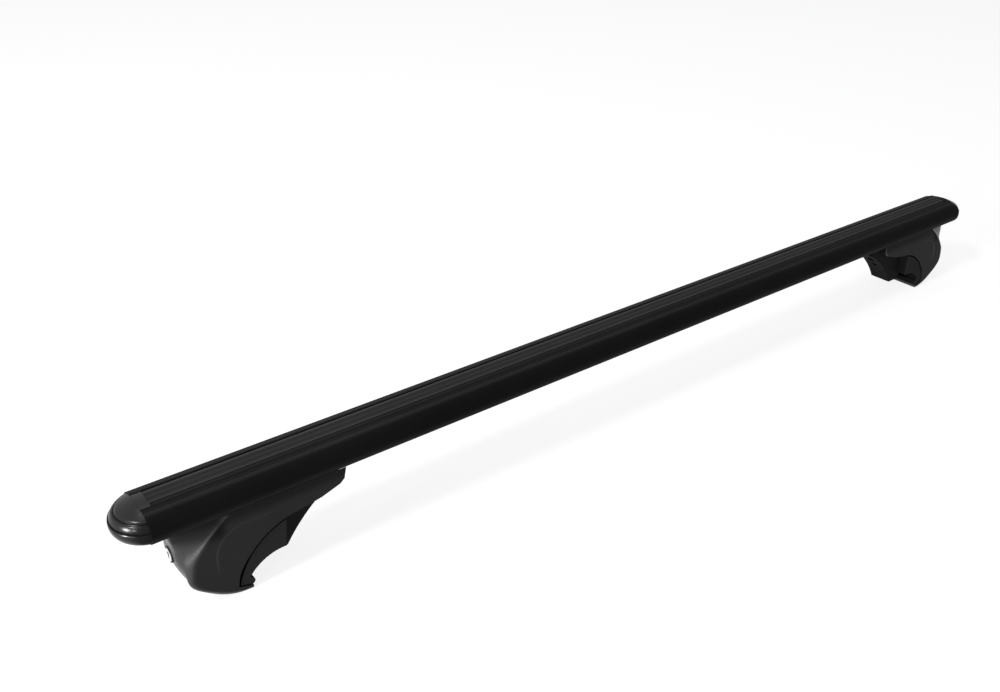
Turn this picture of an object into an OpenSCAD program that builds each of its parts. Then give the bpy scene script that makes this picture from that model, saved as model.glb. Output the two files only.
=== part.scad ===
// Roof rack crossbar for raised roof rails.
// X runs along the bar, Y along the vehicle, Z up. The origin is on the floor below the bar's middle.

/* [Bar] */
// Length of the aluminium extrusion
bar_len = 1146; // [700:2:1400]
// Width of the oval section
bar_w = 60; // [50:1:80]
// Height of the oval section
bar_h = 33; // [29:1:40]
// Radius of the section's rounded sides
side_r = 13; // [10:0.5:14]
// Wall of the extrusion
bar_wall = 2.2; // [1.6:0.1:3]
// Height of the bar's underside above the floor
bar_z = 78; // [74:1:90]

/* [Top slot and strip] */
// Width of the seat that the rubber strip lies in
seat_w = 23.2; // [18:0.1:26]
// Depth of the seat below the top of the bar
seat_d = 2.6; // [2:0.1:4]
// Width of the top slot's mouth
top_mouth_w = 13; // [8:0.5:15]
// Thickness of the lips beside the mouth
top_lip_t = 2.4; // [2:0.1:4]
// Width of the top slot inside
top_slot_w = 20; // [16:0.5:22]
// Height of the top slot inside
top_slot_h = 6.5; // [5:0.5:8]
// Width of the strip's raised middle band
band_w = 16; // [10:0.5:18]
// Radius of the two fine grooves in the band
groove_r = 0.5; // [0.3:0.1:0.8]
// Distance between the two grooves
groove_gap = 6; // [3:0.5:8]

// Half width of the raised land beside the strip
land_y = 15.5; // [13:0.5:18]
// Height of that land above the oval
land_h = 0.4; // [0.2:0.1:0.8]

/* [Bottom slot] */
// Width of the bottom slot's mouth
low_mouth_w = 7; // [6.6:0.1:9]
// Thickness of the lips beside the mouth
low_lip_t = 3; // [2:0.1:4]
// Width of the bottom slot inside
low_slot_w = 18; // [16:0.5:20]
// Height of the bottom slot inside
low_slot_h = 6; // [5.5:0.5:8]

/* [End caps] */
// How far the cap reaches beyond the extrusion
cap_len = 22.8; // [20:0.1:30]
// How far each lower tier stands out beyond the one above it, at the tip
tier_step = 0.8; // [0.3:0.1:3]
// Depth of the first step below the top of the bar, at the tip
tier_1 = 6.8; // [5:0.1:9]
// Depth of the second step below the top of the bar, at the tip
tier_2 = 13.4; // [12:0.1:20]
// Upward slope of the steps towards the bar, in degrees
tier_tilt = 2; // [0:1:6]
// Length of the tongue that closes the strip's seat
tongue_len = 9; // [5:0.5:15]
// Length of the plugs that hold the cap in the extrusion
plug_len = 14; // [8:1:25]

/* [Feet] */
// Distance from each end of the extrusion to the middle of the rail
foot_inset = 107; // [95:1:200]
// How far the left claw is opened from fully closed
open_left = 0; // [0:1:32]
// How far the right claw is opened from fully closed
open_right = 10; // [0:1:32]

/* [Claw housing] */
// Width of the housing
house_w = 54; // [48:1:56]
// Wall of the housing
house_wall = 3; // [2.4:0.1:4]
// Reach of the rounded nose beyond the middle of the rail
nose_x = 87; // [84:0.5:90]
// Radius of the round nose at its rim, seen from the front
nose_r = 56; // [54:0.5:58]
// Height of the nose's middle; its round bottom is cut flat at the floor line
nose_z = 52; // [50:0.5:54]
// Crown of the nose's rolled face across its width
nose_crown = 1.5; // [0.5:0.1:2.5]
// Radius of the nose's rim, between its cheeks and its rolled face
rim_r = 8; // [6:0.5:10]
// Reach of the neck that closes the nose under the bar
neck_x = 72; // [68:1:76]
// Radius of the neck's upright corners
neck_r = 14; // [8:1:16]
// Radius of the arch that the saddle pad sits in
arch_r = 68.5; // [66:0.5:70]
// Reach of the arm towards the middle of the bar
arm_x = 64; // [58:1:70]
// Height of the arm's lower edge where it leaves the arch
arm_z = 58.5; // [56:0.5:62]
// Height of the raised panel of the cheeks
crease_h = 0.5; // [0.3:0.1:1]

/* [Saddle pad] */
// Radius of the hollow that lies on the rail
rail_r = 41; // [36:1:44]
// Depth of the rail's middle below the floor line
rail_drop = 12; // [10:0.5:14]
// Width of the shadow groove between the pad and the housing
shadow_w = 1.6; // [0.8:0.1:2.5]

/* [Inner jaw] */
// Width of the jaw and its arm, as a share of the housing's width
jaw_share = 0.5; // [0.4:0.01:0.52]
// Distance of the clamping face from the middle of the rail
jaw_face_x = 11.5; // [10:0.5:14]
// Height of the jaw's foot above the floor
jaw_z = 18; // [14:0.5:20]
// Height of the flange below the bar's underside
flange_h = 7; // [5:0.5:9]
// Thickness of the rubber pad on the jaw
pad_t = 3; // [2:0.5:4]

/* [Clamp screw and lock] */
// Diameter of the clamp screw
screw_d = 8; // [6:1:8]
// Height of the clamp screw above the floor
screw_z = 48; // [47:0.5:50]
// Length of the screw under its head
screw_len = 92; // [84:1:94]
// Diameter of the screw's head
head_d = 13; // [12:0.5:14]
// Height of the screw's head
head_h = 8; // [5:0.5:8]
// Width of the hexagon socket across flats
socket_af = 6; // [4:0.5:6]
// Diameter of the lock sleeve
sleeve_d = 15; // [15:0.5:17]
// Diameter of the turning lock plug
plug_d = 12; // [10:0.5:13]
// Length of the lock behind its face
lock_len = 19; // [14:0.5:20]

/* [Slot fasteners] */
// Diameter of the bolts that hold the foot to the bar
bolt_d = 6; // [5:0.5:6]
// Place of the outer bolt, from the middle of the rail
bolt_out_x = 34; // [30:1:40]
// Place of the inner bolt, from the middle of the rail
bolt_in_x = 46; // [42:1:50]
// Thickness of the jaw's arm where the bolts pass
arm_t = 12; // [10:0.5:13]

/* [Fits] */
// Gap between pieces that slide or lie on each other
slip = 0.3; // [0.2:0.05:0.5]
// Radial gap of a screw in its nut, and of the plug in its sleeve
run_gap = 0.06; // [0.02:0.01:0.1]

/* [Hidden] */
$fn = 96;

// Centre and top of the bar's section
bar_mid_z = bar_z + bar_h / 2;
bar_top_z = bar_z + bar_h;
seam_x = bar_len / 2;
web_t = bar_wall;
seat_z = bar_top_z - seat_d;
slot_top_z = seat_z - top_lip_t;
slot_floor_z = slot_top_z - top_slot_h;
low_slot_z = bar_z + low_lip_t;
low_roof_z = low_slot_z + low_slot_h;
chamber_in_y = max(top_slot_w, low_slot_w) / 2 + bar_wall;

// Feet and claw housing
foot_x = seam_x - foot_inset;
nose_mid_x = nose_r - nose_x;
arch_x = 22.5;
arch_z = arm_z - 66;
arch_end_x = 5.5;
house_top_z = bar_mid_z;
lip_x = -31;
lip_t = 3.2;
inner_w = house_w - 2 * house_wall;
arm_mid_x = 39.5;
arm_rise = 6;
arm_tip_rise = 12;
tip_lean = 2.5;
foot_len = 2 * (nose_x + arm_x);
crease_x = -32;
crease_z = 44;
crease_r = 27;

// Lock and clamp screw, along X in the foot's own frame
lock_face_x = -nose_x - nose_crown - 0.4;
lock_back_x = lock_face_x + lock_len;
head_x = lock_back_x + 1.5;
wall_x = head_x + head_h + 1.6;
wall_t = 6;
screw_end_x = wall_x - 1.6 + screw_len;
washer_d = sleeve_d - 0.4;
washer_t = 1.6;
nut_af = 13;
nut_t = 6.5;
nut_x = -7;
screw_hole_d = screw_d + 1;
boss_d = sleeve_d + 6;

// Inner jaw
jaw_w = house_w * jaw_share;
jaw_slot_w = jaw_w + 1;
flange_w = inner_w - 6;
flange_x = 46;
jaw_in_x = 14;
jaw_tip_x = 68;
jaw_tip_z = 66;
jaw_out_x = -45;
jaw_back_x = 131.4;
jaw_back_z = -59;
jaw_back_r = 144.3;
arm_low_z = bar_z - slip - arm_t;

// Slot fasteners
bolt_hole_d = bolt_d + 0.6;
bolt_head_l = 16;
bolt_head_t = 4;
small_nut_af = 10;
small_nut_t = 5;
small_washer_d = 12;
small_washer_t = 1.2;
bolt_end = small_nut_t + small_washer_t + 1.5;

// Distance from an oval's middle to the centre of its crown arc
function crown_c(w, h, r) = (pow(w / 2 - r, 2) - pow(h / 2 - r, 2)) / (h - 2 * r);

// Oval of three centres: round sides of radius r and a slightly crowned top and bottom
module oval(w, h, r) {
    c = crown_c(w, h, r);
    big = c + h / 2;
    side_y = w / 2 - r;
    join_y = side_y * big / (big - r);
    intersection() {
        translate([0, c]) circle(big, $fn = 192);
        translate([0, -c]) circle(big, $fn = 192);
        square([2 * join_y, h], center = true);
    }
    for (s = [-1, 1]) translate([s * side_y, 0]) circle(r);
}

// A flat drawing in Y and Z, drawn out along X from x0 by len
module along_x(x0, len) {
    translate([x0, 0, 0]) rotate([90, 0, 90]) linear_extrude(len) children();
}

// A flat drawing in X and Z, drawn out along Y and centred on the foot
module across_y(w) {
    translate([0, w / 2, 0]) rotate([90, 0, 0]) linear_extrude(w) children();
}

// The bar's own section, set in or out by grow
module bar_oval(grow) {
    translate([0, bar_mid_z]) oval(bar_w + 2 * grow, bar_h + 2 * grow, side_r + grow);
}

// One closed chamber beside the slots, shrunk by gap
module chamber(gap) {
    for (s = [-1, 1]) intersection() {
        bar_oval(-bar_wall - gap);
        translate([s * (chamber_in_y + gap + bar_w / 2), bar_mid_z]) square([bar_w, bar_h], center = true);
    }
}

module slot_section(mouth_w, wide, z0, high, mouth_z) {
    translate([-wide / 2, z0]) square([wide, high]);
    translate([-mouth_w / 2, min(z0, mouth_z)]) square([mouth_w, abs(mouth_z - z0)]);
}

module bar_extrusion() {
    mid_z = (low_roof_z + slot_floor_z) / 2;
    mid_h = slot_floor_z - low_roof_z - 2 * web_t;
    color([0.09, 0.09, 0.095]) along_x(-seam_x, bar_len) difference() {
        union() {
            bar_oval(0);
            // Raised land beside the strip
            intersection() {
                bar_oval(land_h);
                translate([-land_y, bar_mid_z]) square([2 * land_y, bar_h]);
            }
        }
        chamber(0);
        translate([-seat_w / 2, seat_z]) square([seat_w, seat_d + 1]);
        slot_section(top_mouth_w, top_slot_w, slot_floor_z, top_slot_h, seat_z + 0.01);
        slot_section(low_mouth_w, low_slot_w, low_slot_z, low_slot_h, bar_z - 1);
        translate([0, mid_z]) square([low_slot_w, mid_h], center = true);
    }
}

// Rubber strip: base flush with the seat, raised ribbed band, and a barbed root in the slot
module strip_section() {
    base_w = seat_w - 2 * slip;
    root_w = top_mouth_w - 2 * slip;
    crown_r = crown_c(bar_w, bar_h, side_r) + bar_h / 2;
    intersection() {
        translate([-base_w / 2, seat_z]) square([base_w, seat_d]);
        translate([0, bar_top_z - crown_r - 0.5]) circle(crown_r, $fn = 192);
    }
    // Flat load face with two fine grooves
    difference() {
        translate([-band_w / 2, seat_z]) square([band_w, seat_d]);
        for (s = [-1, 1]) translate([s * groove_gap / 2, bar_top_z]) circle(groove_r, $fn = 16);
    }
    translate([-root_w / 2, seat_z - top_lip_t - 1]) square([root_w, top_lip_t + 1.1]);
    translate([-root_w / 2 - 1.2, seat_z - top_lip_t - 2.2]) square([root_w + 2.4, 2.2 - slip]);
}

module rubber_strip() {
    color([0.13, 0.13, 0.135]) along_x(tongue_len - seam_x, bar_len - 2 * tongue_len) strip_section();
}

// End cap at the +X end: three tiers turned from the bar's own oval, each set further out
module end_cap() {
    turned_r = bar_w / 2;
    steps = [bar_top_z - tier_2, bar_top_z - tier_1];
    for (i = [0:2]) intersection() {
        translate([seam_x + cap_len - turned_r - i * tier_step, 0, 0]) rotate_extrude($fn = 128) intersection() {
            bar_oval(0);
            translate([0, bar_z - 1]) square([bar_w, bar_h + 2]);
        }
        translate([seam_x, -bar_w, bar_z - bar_h]) cube([bar_w, 2 * bar_w, 3 * bar_h]);
        // Sloping step above this tier, and the one below it
        if (i < 2) translate([seam_x + cap_len, -bar_w, steps[i]]) rotate([0, tier_tilt, 0])
            translate([-2 * bar_w, 0, -2 * bar_h]) cube([3 * bar_w, 2 * bar_w, 2 * bar_h]);
        if (i > 0) translate([seam_x + cap_len, -bar_w, steps[i - 1]]) rotate([0, tier_tilt, 0])
            translate([-2 * bar_w, 0, 0]) cube([3 * bar_w, 2 * bar_w, 3 * bar_h]);
    }
    // Tongue in the strip's seat, with the strip's own outline
    along_x(seam_x - tongue_len + slip, tongue_len) intersection() {
        bar_oval(0);
        translate([slip - seat_w / 2, seat_z]) square([seat_w - 2 * slip, seat_d + 1]);
    }
    along_x(seam_x - plug_len, plug_len + 1) chamber(slip);
}

module end_cap_left() { color([0.2, 0.2, 0.21]) mirror([1, 0, 0]) end_cap(); }
module end_cap_right() { color([0.2, 0.2, 0.21]) end_cap(); }

// Places a foot drawn for the -X side, where -x in its own frame points outboard
module foot(side, shift) {
    if (side < 0) translate([-foot_x - shift, 0, 0]) children();
    else mirror([1, 0, 0]) translate([-foot_x - shift, 0, 0]) children();
}

// Housing seen from the front: round nose, neck, arch and arm, with its walls set in by inset
module housing_profile(inset) {
    difference() {
        union() {
            intersection() {
                translate([nose_mid_x, nose_z]) circle(nose_r + nose_crown - inset, $fn = 192);
                translate([-2 * nose_x, inset]) square([2 * nose_x, house_top_z - inset]);
            }
            translate([nose_mid_x, inset]) square([arm_x + 8 - nose_mid_x, house_top_z - inset]);
            translate([inset - neck_x, nose_z]) square([neck_x, house_top_z - nose_z]);
        }
        translate([arch_x, arch_z]) circle(arch_r + inset, $fn = 192);
        polygon([[arch_end_x, -10], [arch_end_x, arm_z + inset], [arm_mid_x, arm_z + arm_rise + inset],
                 [arm_x - 6, arm_z + arm_tip_rise + inset], [arm_x - 1.5, arm_z + arm_tip_rise + 4 + inset],
                 [arm_x + tip_lean, house_top_z], [arm_x + foot_len, house_top_z], [arm_x + foot_len, -10]]);
    }
}

// Lip that carries the toe of the saddle pad
module lip_profile() {
    polygon([[lip_x, 0], [lip_x, lip_t], [lip_x - 13, lip_t + 4], [lip_x - 16, 9], [lip_x - 18, 0]]);
}

// Section of the nose from its middle outwards: a crowned face that runs into round rims
module rim_section(inset) {
    half = house_w / 2 - inset;
    r = rim_r - inset;
    rim_y = half - r;
    centre_gap = (pow(rim_y, 2) - pow(nose_crown, 2)) / (2 * nose_crown);
    face_r = centre_gap + nose_crown + r;
    join_y = rim_y * face_r / (face_r - r);
    translate([0, -half]) square([nose_r - rim_r, 2 * half]);
    intersection() {
        translate([nose_r + nose_crown - inset - face_r, 0]) circle(face_r, $fn = 256);
        translate([0, -join_y]) square([2 * nose_r, 2 * join_y]);
    }
    for (s = [-1, 1]) translate([nose_r - rim_r, s * rim_y]) circle(r);
}

// Neck seen from above, with round upright corners
module neck_plan(inset) {
    half = house_w / 2 - inset;
    r = neck_r - inset;
    translate([neck_r - neck_x, -half]) square([neck_x + arm_x + 10 - neck_r, 2 * half]);
    translate([inset - neck_x, r - half]) square([neck_r, 2 * (half - r)]);
    for (s = [-1, 1]) translate([neck_r - neck_x, s * (half - r)]) circle(r);
}

// Space that the housing fills: turned nose, toe with the nose's own section, and neck
module housing_space(inset) {
    translate([nose_mid_x, 0, nose_z]) rotate([90, 0, 0]) rotate_extrude($fn = 128) rim_section(inset);
    along_x(nose_mid_x, nose_x) translate([0, nose_z]) rotate([0, 0, -90]) rim_section(inset);
    translate([0, 0, nose_z]) linear_extrude(house_top_z) neck_plan(inset);
}

// Raised part of the cheek that follows the arch, bounded by the soft crease
module cheek_panel() {
    intersection() {
        housing_profile(0);
        union() {
            translate([crease_x, crease_z]) circle(crease_r);
            translate([crease_x, crease_z]) square([arch_end_x - crease_x, crease_r]);
            translate([crease_x - crease_r, 0]) square([2 * crease_r, crease_z]);
        }
        union() {
            translate([nose_mid_x, nose_z]) circle(nose_r - rim_r, $fn = 192);
            translate([nose_mid_x, nose_z - nose_r + rim_r]) square([foot_len, foot_len]);
        }
    }
}

module claw_housing() {
    difference() {
        union() {
            intersection() {
                across_y(house_w) {
                    housing_profile(0);
                    lip_profile();
                }
                housing_space(0);
            }
            across_y(house_w + 2 * crease_h) cheek_panel();
        }
        // Moulded hollow, open under the bar and at the inner end
        intersection() {
            across_y(inner_w) difference() {
                housing_profile(house_wall);
                translate([-nose_x, -1]) square([nose_x + lip_x, 16]);
                // Cross wall that carries the screw head, and solid round the lock
                translate([-nose_x, screw_z - boss_d / 2]) square([wall_x + wall_t + nose_x, boss_d]);
            }
            housing_space(house_wall);
        }
        across_y(inner_w) translate([flange_x, arm_z + 7]) square([arm_x, house_top_z]);
        // Lock bore, screw hole and the slot that the jaw reaches down through
        translate([lock_face_x - 10, 0, screw_z]) rotate([0, 90, 0])
            cylinder(d = sleeve_d + 2 * run_gap, h = wall_x - lock_face_x + 10);
        translate([wall_x - 1, 0, screw_z]) rotate([0, 90, 0]) cylinder(d = screw_hole_d, h = wall_t + 2);
        translate([lip_x + 3, -jaw_slot_w / 2, 20]) cube([arm_x + 20 - lip_x, jaw_slot_w, 60]);
        // Seat for the bar's rounded underside
        along_x(-foot_len, 2 * foot_len) bar_oval(slip);
    }
}

module claw_housing_left() { color([0.15, 0.15, 0.16]) foot(-1, open_left) claw_housing(); }
module claw_housing_right() { color([0.15, 0.15, 0.16]) foot(1, open_right) claw_housing(); }

// Pad between the arch and the rail, with a rounded toe at the claw
module saddle_profile(gap) {
    toe_r = 3.6;
    difference() {
        intersection() {
            translate([arch_x, arch_z]) circle(arch_r - gap, $fn = 192);
            polygon([[lip_x - 29, lip_t + 9], [lip_x - 13, lip_t + 4 + slip], [lip_x, lip_t + slip],
                     [lip_x + 2.3, lip_t + 3], [lip_x + 2.3, 12], [3, 12], [3, 32], [5, arm_z - 1], [lip_x - 29, arm_z]]);
        }
        difference() {
            translate([0, -rail_drop]) circle(rail_r, $fn = 192);
            translate([lip_x - 1.5, lip_t + 4.5]) circle(toe_r, $fn = 48);
            translate([lip_x - 1.5 - rail_r, -rail_r]) square([rail_r, 2 * rail_r]);
        }
    }
}

module rail_saddle() {
    difference() {
        union() {
            across_y(house_w - 2 * shadow_w - 2) saddle_profile(slip);
            // Outer layers, set back from the arch by the shadow groove
            across_y(house_w - 1.4) saddle_profile(shadow_w);
        }
        translate([lip_x + 5, -jaw_slot_w / 2, -1]) cube([foot_len, jaw_slot_w, house_top_z]);
    }
}

module rail_saddle_left() { color([0.25, 0.25, 0.26]) foot(-1, open_left) rail_saddle(); }
module rail_saddle_right() { color([0.25, 0.25, 0.26]) foot(1, open_right) rail_saddle(); }

// Inner jaw seen from the front: clamping face, hollow sloping back and arm
module jaw_profile() {
    difference() {
        polygon([[-jaw_face_x, jaw_z + 1.5], [1.5 - jaw_face_x, jaw_z], [jaw_in_x - 1.5, jaw_z],
                 [jaw_in_x + 1, jaw_z + 2], [jaw_tip_x - 2, jaw_tip_z - 4],
                 [jaw_tip_x, jaw_tip_z], [jaw_tip_x - 2, bar_z - 5],
                 [jaw_tip_x - 12, bar_z - slip], [jaw_out_x, bar_z - slip],
                 [jaw_out_x, arm_low_z + 4], [jaw_out_x + 4, arm_low_z], [-jaw_face_x - 8, arm_low_z],
                 [-jaw_face_x, arm_low_z - 8]]);
        translate([jaw_back_x, jaw_back_z]) circle(jaw_back_r, $fn = 256);
    }
}

module inner_jaw() {
    difference() {
        union() {
            across_y(jaw_w) jaw_profile();
            // Flange under the bar, rising beside its rounded underside
            translate([jaw_out_x, -flange_w / 2, bar_z - slip - flange_h])
                cube([flange_x - jaw_out_x, flange_w, flange_h + 6]);
        }
        along_x(-foot_len, 2 * foot_len) bar_oval(slip);
        // Way for the clamp screw and a pocket for its nut, open to the far side
        translate([-jaw_face_x - 1, 0, screw_z]) rotate([0, 90, 0])
            cylinder(d = screw_hole_d, h = screw_end_x + jaw_face_x + 3);
        translate([nut_x - slip, -nut_af / 2 - slip, screw_z - nut_af / 2 - slip])
            cube([nut_t + 2 * slip, nut_af + jaw_w, nut_af + 2 * slip]);
        for (x = [-bolt_out_x, bolt_in_x]) translate([x, 0, 0]) {
            cylinder(d = bolt_hole_d, h = bar_z + 10);
            cylinder(d = small_washer_d + 2, h = arm_low_z);
        }
    }
}

module inner_jaw_left() { color([0.12, 0.12, 0.125]) foot(-1, 0) inner_jaw(); }
module inner_jaw_right() { color([0.12, 0.12, 0.125]) foot(1, 0) inner_jaw(); }

// Rubber facing of the jaw, with shallow cross grooves towards the rail
module jaw_pad() {
    pad_w = jaw_w - 2;
    pad_h = 24;
    groove_pitch = 6;
    x0 = -jaw_face_x - pad_t;
    difference() {
        translate([x0, -pad_w / 2, jaw_z + 2]) cube([pad_t, pad_w, pad_h]);
        for (i = [1:3]) translate([x0, 0, jaw_z + 2 + i * groove_pitch]) rotate([90, 0, 0])
            cylinder(r = 0.8, h = pad_w + 2, center = true, $fn = 24);
    }
}

module jaw_pad_left() { color([0.05, 0.05, 0.05]) foot(-1, 0) jaw_pad(); }
module jaw_pad_right() { color([0.05, 0.05, 0.05]) foot(1, 0) jaw_pad(); }

// A prism with six sides and the given width across flats
module hexagon(af, h) { cylinder(d = af / cos(30), h = h, $fn = 6); }

module clamp_screw() {
    translate([wall_x - washer_t, 0, screw_z]) rotate([0, 90, 0]) cylinder(d = screw_d, h = screw_len);
    difference() {
        translate([head_x, 0, screw_z]) rotate([0, 90, 0]) cylinder(d = head_d, h = head_h);
        translate([head_x - 1, 0, screw_z]) rotate([0, 90, 0]) hexagon(socket_af, head_h / 2 + 1);
    }
}

module clamp_screw_left() { color([0.75, 0.75, 0.77]) foot(-1, open_left) clamp_screw(); }
module clamp_screw_right() { color([0.75, 0.75, 0.77]) foot(1, open_right) clamp_screw(); }

module screw_washer() {
    translate([wall_x - washer_t, 0, screw_z]) rotate([0, 90, 0]) difference() {
        cylinder(d = washer_d, h = washer_t);
        translate([0, 0, -1]) cylinder(d = screw_d + 2 * slip, h = washer_t + 2);
    }
}

module screw_washer_left() { color([0.7, 0.7, 0.72]) foot(-1, open_left) screw_washer(); }
module screw_washer_right() { color([0.7, 0.7, 0.72]) foot(1, open_right) screw_washer(); }

module clamp_nut() {
    translate([nut_x, 0, screw_z]) rotate([0, 90, 0]) difference() {
        translate([-nut_af / 2, -nut_af / 2, 0]) cube([nut_af, nut_af, nut_t]);
        translate([0, 0, -1]) cylinder(d = screw_d + 2 * run_gap, h = nut_t + 2);
    }
}

module clamp_nut_left() { color([0.7, 0.7, 0.72]) foot(-1, 0) clamp_nut(); }
module clamp_nut_right() { color([0.7, 0.7, 0.72]) foot(1, 0) clamp_nut(); }

// Dark sleeve round the lock plug
module lock_sleeve() {
    translate([lock_face_x, 0, screw_z]) rotate([0, 90, 0]) difference() {
        cylinder(d = sleeve_d, h = lock_len);
        translate([0, 0, -1]) cylinder(d = plug_d + 2 * run_gap, h = lock_len - 1);
    }
}

module lock_sleeve_left() { color([0.1, 0.1, 0.1]) foot(-1, open_left) lock_sleeve(); }
module lock_sleeve_right() { color([0.1, 0.1, 0.1]) foot(1, open_right) lock_sleeve(); }

// Turning plug with its keyway
module lock_plug() {
    key_w = 2;
    key_h = 7;
    key_depth = 10;
    translate([lock_face_x - 0.4, 0, screw_z]) rotate([0, 90, 0]) difference() {
        cylinder(d = plug_d, h = lock_len - 2);
        translate([-key_h / 2, -key_w / 2, -1]) cube([key_h, key_w, key_depth]);
        translate([-key_w / 2 - 1, -key_w, -1]) cube([key_w, 2 * key_w, key_depth - 2]);
    }
}

module lock_plug_left() { color([0.8, 0.8, 0.82]) foot(-1, open_left) lock_plug(); }
module lock_plug_right() { color([0.8, 0.8, 0.82]) foot(1, open_right) lock_plug(); }

// Repeats a fastener at both bolts of a foot
module at_bolts() { for (x = [-bolt_out_x, bolt_in_x]) translate([x, 0, 0]) children(); }

module slot_bolts(side) {
    head_w = low_slot_w - 2;
    foot(side, 0) at_bolts() {
        translate([-bolt_head_l / 2, -head_w / 2, low_slot_z + slip]) cube([bolt_head_l, head_w, bolt_head_t]);
        translate([0, 0, arm_low_z - bolt_end]) cylinder(d = bolt_d, h = low_slot_z + slip + 1 + bolt_end - arm_low_z);
    }
}

module slot_bolts_left() { color([0.7, 0.7, 0.72]) slot_bolts(-1); }
module slot_bolts_right() { color([0.7, 0.7, 0.72]) slot_bolts(1); }

module slot_nuts(side) {
    foot(side, 0) at_bolts() translate([0, 0, arm_low_z - small_washer_t - small_nut_t]) difference() {
        hexagon(small_nut_af, small_nut_t);
        translate([0, 0, -1]) cylinder(d = bolt_d + 2 * run_gap, h = small_nut_t + 2);
    }
}

module slot_nuts_left() { color([0.7, 0.7, 0.72]) slot_nuts(-1); }
module slot_nuts_right() { color([0.7, 0.7, 0.72]) slot_nuts(1); }

module slot_washers(side) {
    foot(side, 0) at_bolts() translate([0, 0, arm_low_z - small_washer_t]) difference() {
        cylinder(d = small_washer_d, h = small_washer_t);
        translate([0, 0, -1]) cylinder(d = bolt_d + 2 * slip, h = small_washer_t + 2);
    }
}

module slot_washers_left() { color([0.7, 0.7, 0.72]) slot_washers(-1); }
module slot_washers_right() { color([0.7, 0.7, 0.72]) slot_washers(1); }

bar_extrusion();
rubber_strip();
end_cap_left();
end_cap_right();
claw_housing_left();
claw_housing_right();
rail_saddle_left();
rail_saddle_right();
inner_jaw_left();
inner_jaw_right();
jaw_pad_left();
jaw_pad_right();
clamp_screw_left();
clamp_screw_right();
screw_washer_left();
screw_washer_right();
clamp_nut_left();
clamp_nut_right();
lock_sleeve_left();
lock_sleeve_right();
lock_plug_left();
lock_plug_right();
slot_bolts_left();
slot_bolts_right();
slot_nuts_left();
slot_nuts_right();
slot_washers_left();
slot_washers_right();
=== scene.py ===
import math

import bpy
from mathutils import Matrix, Vector


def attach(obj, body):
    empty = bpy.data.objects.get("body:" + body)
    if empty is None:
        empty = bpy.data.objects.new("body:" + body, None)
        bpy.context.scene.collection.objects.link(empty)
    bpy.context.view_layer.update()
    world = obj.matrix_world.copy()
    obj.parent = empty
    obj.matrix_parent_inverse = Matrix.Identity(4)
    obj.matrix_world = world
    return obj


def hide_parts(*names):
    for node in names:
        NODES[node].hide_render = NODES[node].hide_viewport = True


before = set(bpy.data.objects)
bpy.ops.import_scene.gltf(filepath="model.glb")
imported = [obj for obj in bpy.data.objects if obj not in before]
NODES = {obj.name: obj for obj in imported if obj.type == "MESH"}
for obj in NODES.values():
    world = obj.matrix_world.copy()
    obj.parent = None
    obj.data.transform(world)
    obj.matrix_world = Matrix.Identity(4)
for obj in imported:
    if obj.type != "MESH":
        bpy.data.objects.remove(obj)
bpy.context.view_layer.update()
SIDES = {"left": -1.0, "right": 1.0}
MM = 0.001


# Camera, worked out from the photograph

LENS, SENSOR = 35.86, 36.0
CAMERA_PLACE = (-0.7340, -0.6598, 0.5996)
CAMERA_RIGHT = (0.789615, -0.613406, 0.015538)
CAMERA_UP = (0.287849, 0.392663, 0.873475)
CAMERA_BACK = (-0.541897, -0.685236, 0.486621)


def make_camera():
    data = bpy.data.cameras.new("camera")
    data.sensor_width = SENSOR
    data.lens = LENS
    data.clip_start = 0.01
    data.clip_end = 60.0
    cam = bpy.data.objects.new("camera", data)
    turn = Matrix((CAMERA_RIGHT, CAMERA_UP, CAMERA_BACK)).transposed()
    cam.matrix_world = Matrix.Translation(CAMERA_PLACE) @ turn.to_4x4()
    bpy.context.scene.collection.objects.link(cam)
    bpy.context.scene.camera = cam


# Lamps: place and target in m, size in m, power in W

LAMPS = {
    "low_key": ((-3.6, -0.3, 0.85), (-0.5, 0, 0.08), (0.6, 0.45), 190),
    "high_key": ((-2.4, -0.2, 2.6), (-0.4, 0, 0.08), (0.5, 0.5), 120),
    "rim_key": ((-3.3, -1.5, 1.2), (-0.5, 0, 0.06), (0.35, 0.35), 42),
    "top": ((0.3, 0.9, 3.2), (0, 0, 0.05), (2.6, 1.2), 40),
    "front": ((-1.2, -3.2, 1.8), (-0.3, 0, 0.05), (2.0, 1.0), 16),
}


def make_lamp(name, place, target, size, power):
    data = bpy.data.lights.new(name, "AREA")
    data.shape = "RECTANGLE"
    data.size, data.size_y = size
    data.energy = power
    lamp = bpy.data.objects.new(name, data)
    lamp.location = place
    aim = Vector(target) - Vector(place)
    lamp.rotation_euler = aim.to_track_quat("-Z", "Y").to_euler()
    bpy.context.scene.collection.objects.link(lamp)


# Small helpers for node trees

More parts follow.
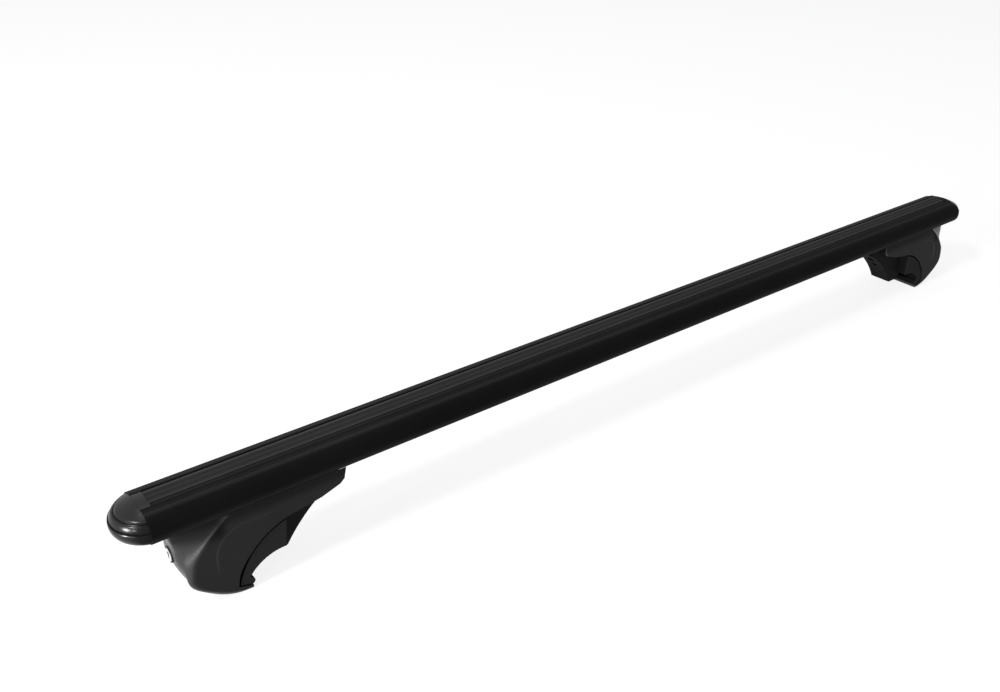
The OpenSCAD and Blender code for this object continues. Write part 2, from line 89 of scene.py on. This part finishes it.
class Tree:
    def __init__(self, owner, output="ShaderNodeOutputMaterial"):
        owner.use_nodes = True
        self.nodes = owner.node_tree.nodes
        self.links = owner.node_tree.links
        self.nodes.clear()
        self.out = self.nodes.new(output)

    def add(self, kind, **values):
        node = self.nodes.new(kind)
        for key, value in values.items():
            setattr(node, key, value)
        return node

    def join(self, a, b):
        self.links.new(a, b)

    def put(self, value, socket):
        if isinstance(value, (int, float)):
            socket.default_value = value
        else:
            self.links.new(value, socket)

    def math(self, operation, a, b=0.0):
        node = self.add("ShaderNodeMath", operation=operation)
        self.put(a, node.inputs[0])
        self.put(b, node.inputs[1])
        return node.outputs[0]

    def times(self, first, *others):
        for other in others:
            first = self.math("MULTIPLY", first, other)
        return first

    def plus(self, a, b):
        return self.math("ADD", a, b)

    def minus(self, a, b):
        return self.math("SUBTRACT", a, b)

    def size(self, a):
        return self.math("ABSOLUTE", a)

    def less(self, a, share):
        """One, less a share of a."""
        return self.minus(1.0, self.times(a, share))

    def ramp(self, value, start, end, low=0.0, high=1.0):
        """Smooth change from low to high as the value goes from start to end."""
        if start > end:
            start, end, low, high = end, start, high, low
        node = self.add("ShaderNodeMapRange", interpolation_type="SMOOTHSTEP")
        self.put(value, node.inputs["Value"])
        node.inputs["From Min"].default_value = start
        node.inputs["From Max"].default_value = end
        node.inputs["To Min"].default_value = low
        node.inputs["To Max"].default_value = high
        return node.outputs["Result"]

    def ridge(self, value, middle, half):
        """One at the middle, falling smoothly to nothing at half on either side."""
        return self.ramp(self.size(self.minus(value, middle)), 0.0, half, 1.0, 0.0)

    def reach(self, x, z, cx, cz):
        """Distance of the point x, z from cx, cz."""
        dx, dz = self.minus(x, cx), self.minus(z, cz)
        return self.math("SQRT", self.plus(self.times(dx, dx), self.times(dz, dz)))

    def place(self):
        """Place on the piece at rest, in mm."""
        coord = self.add("ShaderNodeTexCoord")
        split = self.add("ShaderNodeSeparateXYZ")
        self.join(coord.outputs["Object"], split.inputs[0])
        return [self.times(split.outputs[axis], 1 / MM) for axis in range(3)]

    def noise(self, scale, detail, vector):
        node = self.add("ShaderNodeTexNoise")
        node.inputs["Scale"].default_value = scale
        node.inputs["Detail"].default_value = detail
        self.join(vector, node.inputs["Vector"])
        return node.outputs["Fac"]


BLOTCH = 14.0          # scale of the slow changes of tone
ROUGH_SPREAD = 0.06    # change of roughness either way
GRAIN_DEPTH = 0.0001   # m
FORM_DEPTH = 0.001     # m


def shader(name, color, rough, metallic=0.0, spread=0.12, grain=900.0, bump=0.15,
           stretch=(1, 1, 1), specular=0.5, detail=None):
    """A surface with fine grain in its bump, slow changes of tone and gloss, and its own painted light
    and shade.

    detail gives three values by place: a factor on the colour, and on the gloss where a gloss factor is
    given, that paints light and shade, the height of a soft form or None, and a factor on the gloss or
    None where the gloss is the same all over."""
    mat = bpy.data.materials.new(name)
    t = Tree(mat)
    bsdf = t.add("ShaderNodeBsdfPrincipled")
    bsdf.inputs["Metallic"].default_value = metallic
    bsdf.inputs["Specular IOR Level"].default_value = specular
    coord = t.add("ShaderNodeTexCoord")
    scaled = t.add("ShaderNodeMapping")
    scaled.inputs["Scale"].default_value = stretch
    t.join(coord.outputs["Object"], scaled.inputs["Vector"])
    fine = t.noise(grain, 3.0, scaled.outputs["Vector"])
    slow = t.noise(BLOTCH, 4.0, coord.outputs["Object"])
    both = t.plus(t.times(fine, 0.5), t.times(slow, 0.5))
    tone = t.add("ShaderNodeValToRGB")
    dark, light = tone.color_ramp.elements
    dark.position, light.position = 0.3, 0.7
    dark.color = [c * (1 - spread) for c in color] + [1]
    light.color = [min(1, c * (1 + spread)) for c in color] + [1]
    t.join(both, tone.inputs["Fac"])
    gloss = t.add("ShaderNodeMapRange")
    gloss.inputs["To Min"].default_value = rough - ROUGH_SPREAD
    gloss.inputs["To Max"].default_value = rough + ROUGH_SPREAD
    t.join(both, gloss.inputs["Value"])
    t.join(gloss.outputs["Result"], bsdf.inputs["Roughness"])
    relief = t.add("ShaderNodeBump")
    relief.inputs["Strength"].default_value = bump
    relief.inputs["Distance"].default_value = GRAIN_DEPTH
    t.join(fine, relief.inputs["Height"])
    t.join(relief.outputs["Normal"], bsdf.inputs["Normal"])
    if detail:
        shade, height, shine = detail(t)
        # The colour, and the gloss where a gloss factor is given, are scaled by the painted light and
        # shade.
        scale = t.add("ShaderNodeVectorMath", operation="SCALE")
        t.join(tone.outputs["Color"], scale.inputs[0])
        t.join(shade, scale.inputs["Scale"])
        t.join(scale.outputs[0], bsdf.inputs["Base Color"])
        if shine is not None:
            t.join(t.times(shade, shine, specular), bsdf.inputs["Specular IOR Level"])
        if height is not None:
            form = t.add("ShaderNodeBump")
            form.inputs["Distance"].default_value = FORM_DEPTH
            t.join(height, form.inputs["Height"])
            t.join(form.outputs["Normal"], relief.inputs["Normal"])
    else:
        t.join(tone.outputs["Color"], bsdf.inputs["Base Color"])
    t.join(bsdf.outputs["BSDF"], t.out.inputs["Surface"])
    return mat


# Studio: pale floor and world, seen as white, that light the object softly

FLOOR_GLOW = 0.86
FLOOR_HALF = 12.0
FLOOR_Z = -0.0004


def seen_rays(t):
    """One for rays from the camera, a reflection or a clear piece, and nothing for other light."""
    path = t.add("ShaderNodeLightPath")
    both = t.math("MAXIMUM", path.outputs["Is Camera Ray"], path.outputs["Is Glossy Ray"])
    return t.math("MAXIMUM", both, path.outputs["Is Transmission Ray"])


def mix_seen(t, share, unseen, seen):
    mix = t.add("ShaderNodeMixShader")
    t.join(share, mix.inputs[0])
    t.join(unseen.outputs[0], mix.inputs[1])
    t.join(seen.outputs[0], mix.inputs[2])
    t.join(mix.outputs[0], t.out.inputs["Surface"])


def make_world():
    world = bpy.data.worlds.new("studio")
    bpy.context.scene.world = world
    t = Tree(world, "ShaderNodeOutputWorld")
    seen = t.add("ShaderNodeBackground")
    seen.inputs["Color"].default_value = (1, 1, 1, 1)
    light = t.add("ShaderNodeBackground")
    light.inputs["Color"].default_value = (0.92, 0.95, 1, 1)
    light.inputs["Strength"].default_value = 0.3
    mix_seen(t, seen_rays(t), light, seen)


def make_floor():
    mat = bpy.data.materials.new("floor_pale")
    t = Tree(mat)
    diffuse = t.add("ShaderNodeBsdfDiffuse")
    diffuse.inputs["Color"].default_value = (0.8, 0.8, 0.8, 1)
    glow = t.add("ShaderNodeEmission")
    glow.inputs["Color"].default_value = (1, 1, 1, 1)
    mix_seen(t, t.times(seen_rays(t), FLOOR_GLOW), diffuse, glow)
    mesh = bpy.data.meshes.new("floor")
    corners = [(-1, -1), (1, -1), (1, 1), (-1, 1)]
    mesh.from_pydata([(x * FLOOR_HALF, y * FLOOR_HALF, FLOOR_Z) for x, y in corners], [], [(0, 1, 2, 3)])
    floor = bpy.data.objects.new("floor", mesh)
    bpy.context.scene.collection.objects.link(floor)
    mesh.materials.append(mat)


# Painted light and shade and soft forms of the pieces, in mm on the piece at rest. Much of the studio's
# light and shade is painted here by place on the piece: light on the bar's lands and along the strip's
# raised band, shade on the bar's sides and in the strip's grooves and seat, shade in the caps' grooves
# and the right cap's seam, the shadow under the bar and on the nose, a highlight along the housing's
# crease, shade in the saddle's grooves and on its inner faces, and shade in the lock's keyway.

FOOT_X = 466.0                       # rail's middle from the bar's middle
OPEN = {"left": 0.0, "right": 10.0}  # how far each claw stands out at rest
HOUSE_Y = 27.0                       # cheek from the middle of the foot
ARCH = (22.5, -7.5)                  # middle of the arch
ARCH_R = 68.5
LOCK_FACE_X = -88.9


def foot_place(t, side):
    """Place in the foot's own frame: outboard is minus, the rail's middle is nothing."""
    x, y, z = t.place()
    return t.minus(FOOT_X + OPEN[side], t.size(x)), t.size(y), z


def bar_painted_light(t):
    """Painted light and shade on the bar: the lands beside the strip painted lighter, the far one most,
    and the sides painted darker, lighter towards the bottom as a painted reflection of the floor.
    """
    _, across, z = t.place()
    y = t.size(across)
    painted_land_light = t.times(t.ramp(y, 13.0, 17.0, 0.8, 1.9), t.ramp(across, 10.0, 12.0, 1.0, 1.3))
    fade = t.ramp(y, 17.0, 21.5, 1.0, 0.25)
    # Painted shade on the sides, lighter low down as a painted reflection of the floor.
    sides = t.ramp(z, 84.0, 97.0, 2.2, 0.62)
    top = t.ramp(z, 98.0, 104.0)
    return t.plus(t.times(top, t.times(painted_land_light, fade)), t.times(sides, t.less(top, 0.9))), None, None


def strip_painted_light(t):
    """Painted highlights along both borders of the raised band, the far one brighter, painted shade in
    the faint grooves, and the seat beside the band painted darker as shade.
    """
    _, across, _ = t.place()
    y = t.size(across)
    # Painted highlights along the band's borders, the far one brighter.
    band_edge_highlight = t.times(t.ridge(y, 7.4, 0.9), t.ramp(across, -4.0, 4.0, 1.1, 2.2))
    grooves = t.times(t.ridge(y, 3.0, 1.6), 0.12)
    seat = t.ramp(y, 8.1, 8.3, 1.0, 0.6)
    return t.times(t.plus(1.0, t.minus(band_edge_highlight, grooves)), seat), None, None


def cap_grooves_and_painted_shade(side):
    """Painted shade in the grooves at the two tiers, over soft dips, painted shade in the right cap's
    seam, and little gloss on the sides.
    """
    def painted_light_and_form(t):
        x, y, z = t.place()
        # Painted shade in the grooves at the two tiers.
        shade = t.less(t.ridge(z, 104.3, 0.8), 0.7)
        shade = t.times(shade, t.less(t.ridge(z, 97.6, 0.8), 0.7))
        # Painted shade in the seam, on the right cap only.
        if side == "right":
            shade = t.times(shade, t.ramp(t.size(x), 576.0, 577.6, 0.05, 1.0))
        dips = t.plus(t.ridge(z, 104.2, 1.6), t.ridge(z, 97.5, 1.8))
        return shade, t.times(dips, -0.45), t.ramp(t.size(y), 19.0, 26.0, 1.0, 0.03)
    return painted_light_and_form


CREASE_R = 27.0
CREASE_MIDDLE = (-32.0, 44.0)
CREASE_X = CREASE_MIDDLE[0] - CREASE_R
CREASE_Z = CREASE_MIDDLE[1] + CREASE_R


def inside_crease(t, x, z):
    """How far a point of the cheek lies inside the crease: up, round a corner and along the bar."""
    outer = t.math("LESS_THAN", x, CREASE_MIDDLE[0])
    upper = t.math("GREATER_THAN", z, CREASE_MIDDLE[1])
    along = t.times(t.minus(CREASE_Z, z), t.minus(1.0, outer))
    arc = t.times(t.minus(CREASE_R, t.reach(x, z, *CREASE_MIDDLE)), t.times(outer, upper))
    rise = t.times(t.minus(x, CREASE_X), t.times(outer, t.minus(1.0, upper)))
    return t.plus(t.plus(along, arc), rise)


def housing_crease_and_painted_light(side):
    """The cheek's soft crease with a painted highlight along it, and a soft painted shadow where the
    housing meets the bar, deepest on the nose.
    """
    def painted_light_and_form(t):
        x, y, z = foot_place(t, side)
        inside = inside_crease(t, x, z)
        cheek = t.ramp(y, 25.5, 26.9)
        fade = t.times(t.ramp(z, 26.0, 44.0), t.ramp(x, 12.0, -10.0), cheek)
        height = t.times(t.ramp(inside, -1.8, 1.4), fade, 0.35)
        # Painted highlight along the crease.
        light = t.times(t.ridge(inside, 0.2, 1.3), fade, 0.35)
        # Painted shadow of the bar, deeper on the nose.
        corner = t.times(t.ramp(y, 6.0, 15.0), t.ramp(x, -44.0, -54.0), t.ramp(z, 60.0, 72.0))
        under = t.times(t.ramp(z, 72.0, 82.0, 1.0, 0.6), t.less(corner, 0.6))
        return t.times(t.plus(1.0, light), under), height, t.less(cheek, 0.96)
    return painted_light_and_form


def saddle_painted_shade(side):
    """Painted shadow in the grooves where the pad meets the arch and the toe, and painted shade on the
    inner faces.
    """
    toe_slope, toe_z, toe_x = 0.3077, 3.5, -31.0

    def painted_light_and_form(t):
        x, y, z = foot_place(t, side)
        # Painted shadow in the grooves beside the arch and the toe, and painted shade on the inner faces.
        arch_groove_shadow = t.ramp(t.minus(ARCH_R, t.reach(x, z, *ARCH)), 1.7, 2.3, 0.12, 1.0)
        above_toe = t.plus(t.minus(z, toe_z), t.times(t.minus(x, toe_x), toe_slope))
        toe_groove_shadow = t.ramp(above_toe, 0.9, 1.4, 0.15, 1.0)
        return t.times(arch_groove_shadow, toe_groove_shadow, t.ramp(y, 25.0, 26.2, 0.4, 1.0)), None, None
    return painted_light_and_form


def plug_painted_shade(side):
    """Bright face, with the keyway and sides painted dark as shade."""
    front = LOCK_FACE_X - 0.4

    def painted_light_and_form(t):
        x, _, _ = foot_place(t, side)
        return t.ramp(x, front + 0.25, front + 0.6, 1.0, 0.03), None, None
    return painted_light_and_form


bpy.context.scene.view_settings.view_transform = "Standard"
make_camera()
make_world()
make_floor()
for lamp, values in LAMPS.items():
    make_lamp(lamp, *values)


# Materials, one for each kind of node

# One material for each foot, with its painted light and shade placed in the foot's own frame.
def foot_pair(name, color, rough, painted_light_and_form, **values):
    return {side: shader(name + "_" + side, color, rough, detail=painted_light_and_form(side), **values) for side in SIDES}


MATS = {
    "bar_extrusion": shader("black_anodised", (0.0048, 0.0048, 0.005), 0.6, spread=0.2, grain=1500,
                            bump=0.2, stretch=(0.05, 1, 1), specular=0.02, detail=bar_painted_light),
    "rubber_strip": shader("grey_strip_rubber", (0.0122, 0.0122, 0.0126), 0.65, grain=2600,
                           bump=0.3, specular=0.03, detail=strip_painted_light),
    "end_cap": foot_pair("charcoal_cap", (0.006, 0.006, 0.0062), 0.25, cap_grooves_and_painted_shade, grain=2200,
                         bump=0.1, specular=0.17),
    "claw_housing": foot_pair("charcoal_housing", (0.0146, 0.0146, 0.015), 0.34, housing_crease_and_painted_light,
                              grain=2400, bump=0.25, specular=0.33),
    "rail_saddle": foot_pair("dark_saddle_rubber", (0.0142, 0.0142, 0.0146), 0.6, saddle_painted_shade,
                             grain=2000, bump=0.25, specular=0.008),
    "inner_jaw": shader("black_nylon", (0.009, 0.009, 0.0093), 0.55, grain=2400, bump=0.3,
                        specular=0.008),
    "jaw_pad": shader("black_pad_rubber", (0.006, 0.006, 0.006), 0.7, grain=2000, bump=0.3,
                      specular=0.01),
    "steel": shader("zinc_steel", (0.55, 0.55, 0.56), 0.34, metallic=1.0, grain=1200, spread=0.08),
    "dark_steel": shader("black_zinc", (0.008, 0.008, 0.0084), 0.45, metallic=1.0, grain=1200,
                         spread=0.08),
    "lock_sleeve": shader("black_sleeve", (0.004, 0.004, 0.004), 0.45, grain=2000, bump=0.2,
                          specular=0.06),
    "lock_plug": foot_pair("satin_nickel", (0.8, 0.8, 0.81), 0.3, plug_painted_shade, metallic=1.0,
                           grain=2600, bump=0.12, spread=0.05),
}


def material_of(node):
    """The material of a node's kind; fasteners in the bar's slot are dark, other steel is bright."""
    kind, _, side = node.rpartition("_")
    if side not in SIDES:
        kind = node
    plain = "dark_steel" if node.startswith("slot_") else "steel"
    mat = MATS.get(kind, MATS[plain])
    return mat[side] if isinstance(mat, dict) else mat


for node, obj in NODES.items():
    obj.data.materials.clear()
    obj.data.materials.append(material_of(node))


# Housings: the nose is fuller in the middle and its cheeks draw in towards the bar.
# The cheek's step is laid flat, because its crease is soft.

NOSE_X, NOSE_Z, NOSE_R = -31.0, 52.0, 56.0
NOSE_LEAST = 20.0      # least reach used far above and below the nose's middle
STILL_X = -25.0        # points inboard of this stay
CHEEK_Z = 45.0         # the cheeks draw in above this and swell below
CHEEK_SLOPE = 0.39     # half the inward slide for each mm of height
CHEEK_BEND = 6.0       # how softly the slide starts
BELLY, BELLY_H = 5.0, 38.0
MIDDLE_OUT = 8.0
FLAT_TOLERANCE = 0.02


def ease(value, start, end):
    t = max(0.0, min(1.0, (value - start) / (end - start)))
    return t * t * (3.0 - 2.0 * t)


def draw_in(x, y, z):
    """Slide a point of the nose along the bar, in the foot's own frame."""
    if x >= STILL_X:
        return x
    outline = NOSE_X - math.sqrt(max(NOSE_R ** 2 - (z - NOSE_Z) ** 2, NOSE_LEAST ** 2))
    share = min(1.0, (STILL_X - x) / (STILL_X - outline))
    above = z - CHEEK_Z
    cheek = CHEEK_SLOPE * (above + math.hypot(above, CHEEK_BEND))
    belly = -BELLY * math.sin(math.pi * max(0.0, min(1.0, -above / BELLY_H))) ** 2
    middle = -MIDDLE_OUT * ease(z, 56.0, 80.0)
    weight = ease(y, 12.0, 26.0)
    return x + share * (cheek * weight + belly * ease(y, 18.0, 26.0) + middle * (1.0 - weight))


def corner_normals(mesh):
    """Smooth over round faces and sharp at edges, weighted by area so that flat faces stay flat."""
    around = [[] for _ in mesh.vertices]
    for face in mesh.polygons:
        for index in face.vertices:
            around[index].append(face)
    normals = []
    for face in mesh.polygons:
        for index in face.vertices:
            total = Vector((0, 0, 0))
            for near in around[index]:
                if near.normal.dot(face.normal) > 0.8:
                    total += near.normal * near.area
            normals.append(tuple(total.normalized() if total.length > 1e-14 else face.normal))
    mesh.normals_split_custom_set(normals)


def make_housing(side):
    mesh = NODES["claw_housing_" + side].data.copy()
    place = FOOT_X + OPEN[side]
    for vertex in mesh.vertices:
        if abs(vertex.co.y) > (HOUSE_Y + FLAT_TOLERANCE) * MM:
            vertex.co.y = math.copysign(HOUSE_Y * MM, vertex.co.y)
        x = draw_in(place - abs(vertex.co.x) / MM, abs(vertex.co.y) / MM, vertex.co.z / MM)
        vertex.co.x = SIDES[side] * (place - x) * MM
    mesh.update()
    corner_normals(mesh)
    shell = bpy.data.objects.new("housing_shell_" + side, mesh)
    bpy.context.scene.collection.objects.link(shell)
    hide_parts("claw_housing_" + side)
    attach(shell, "claw_" + side)


for side in SIDES:
    make_housing(side)
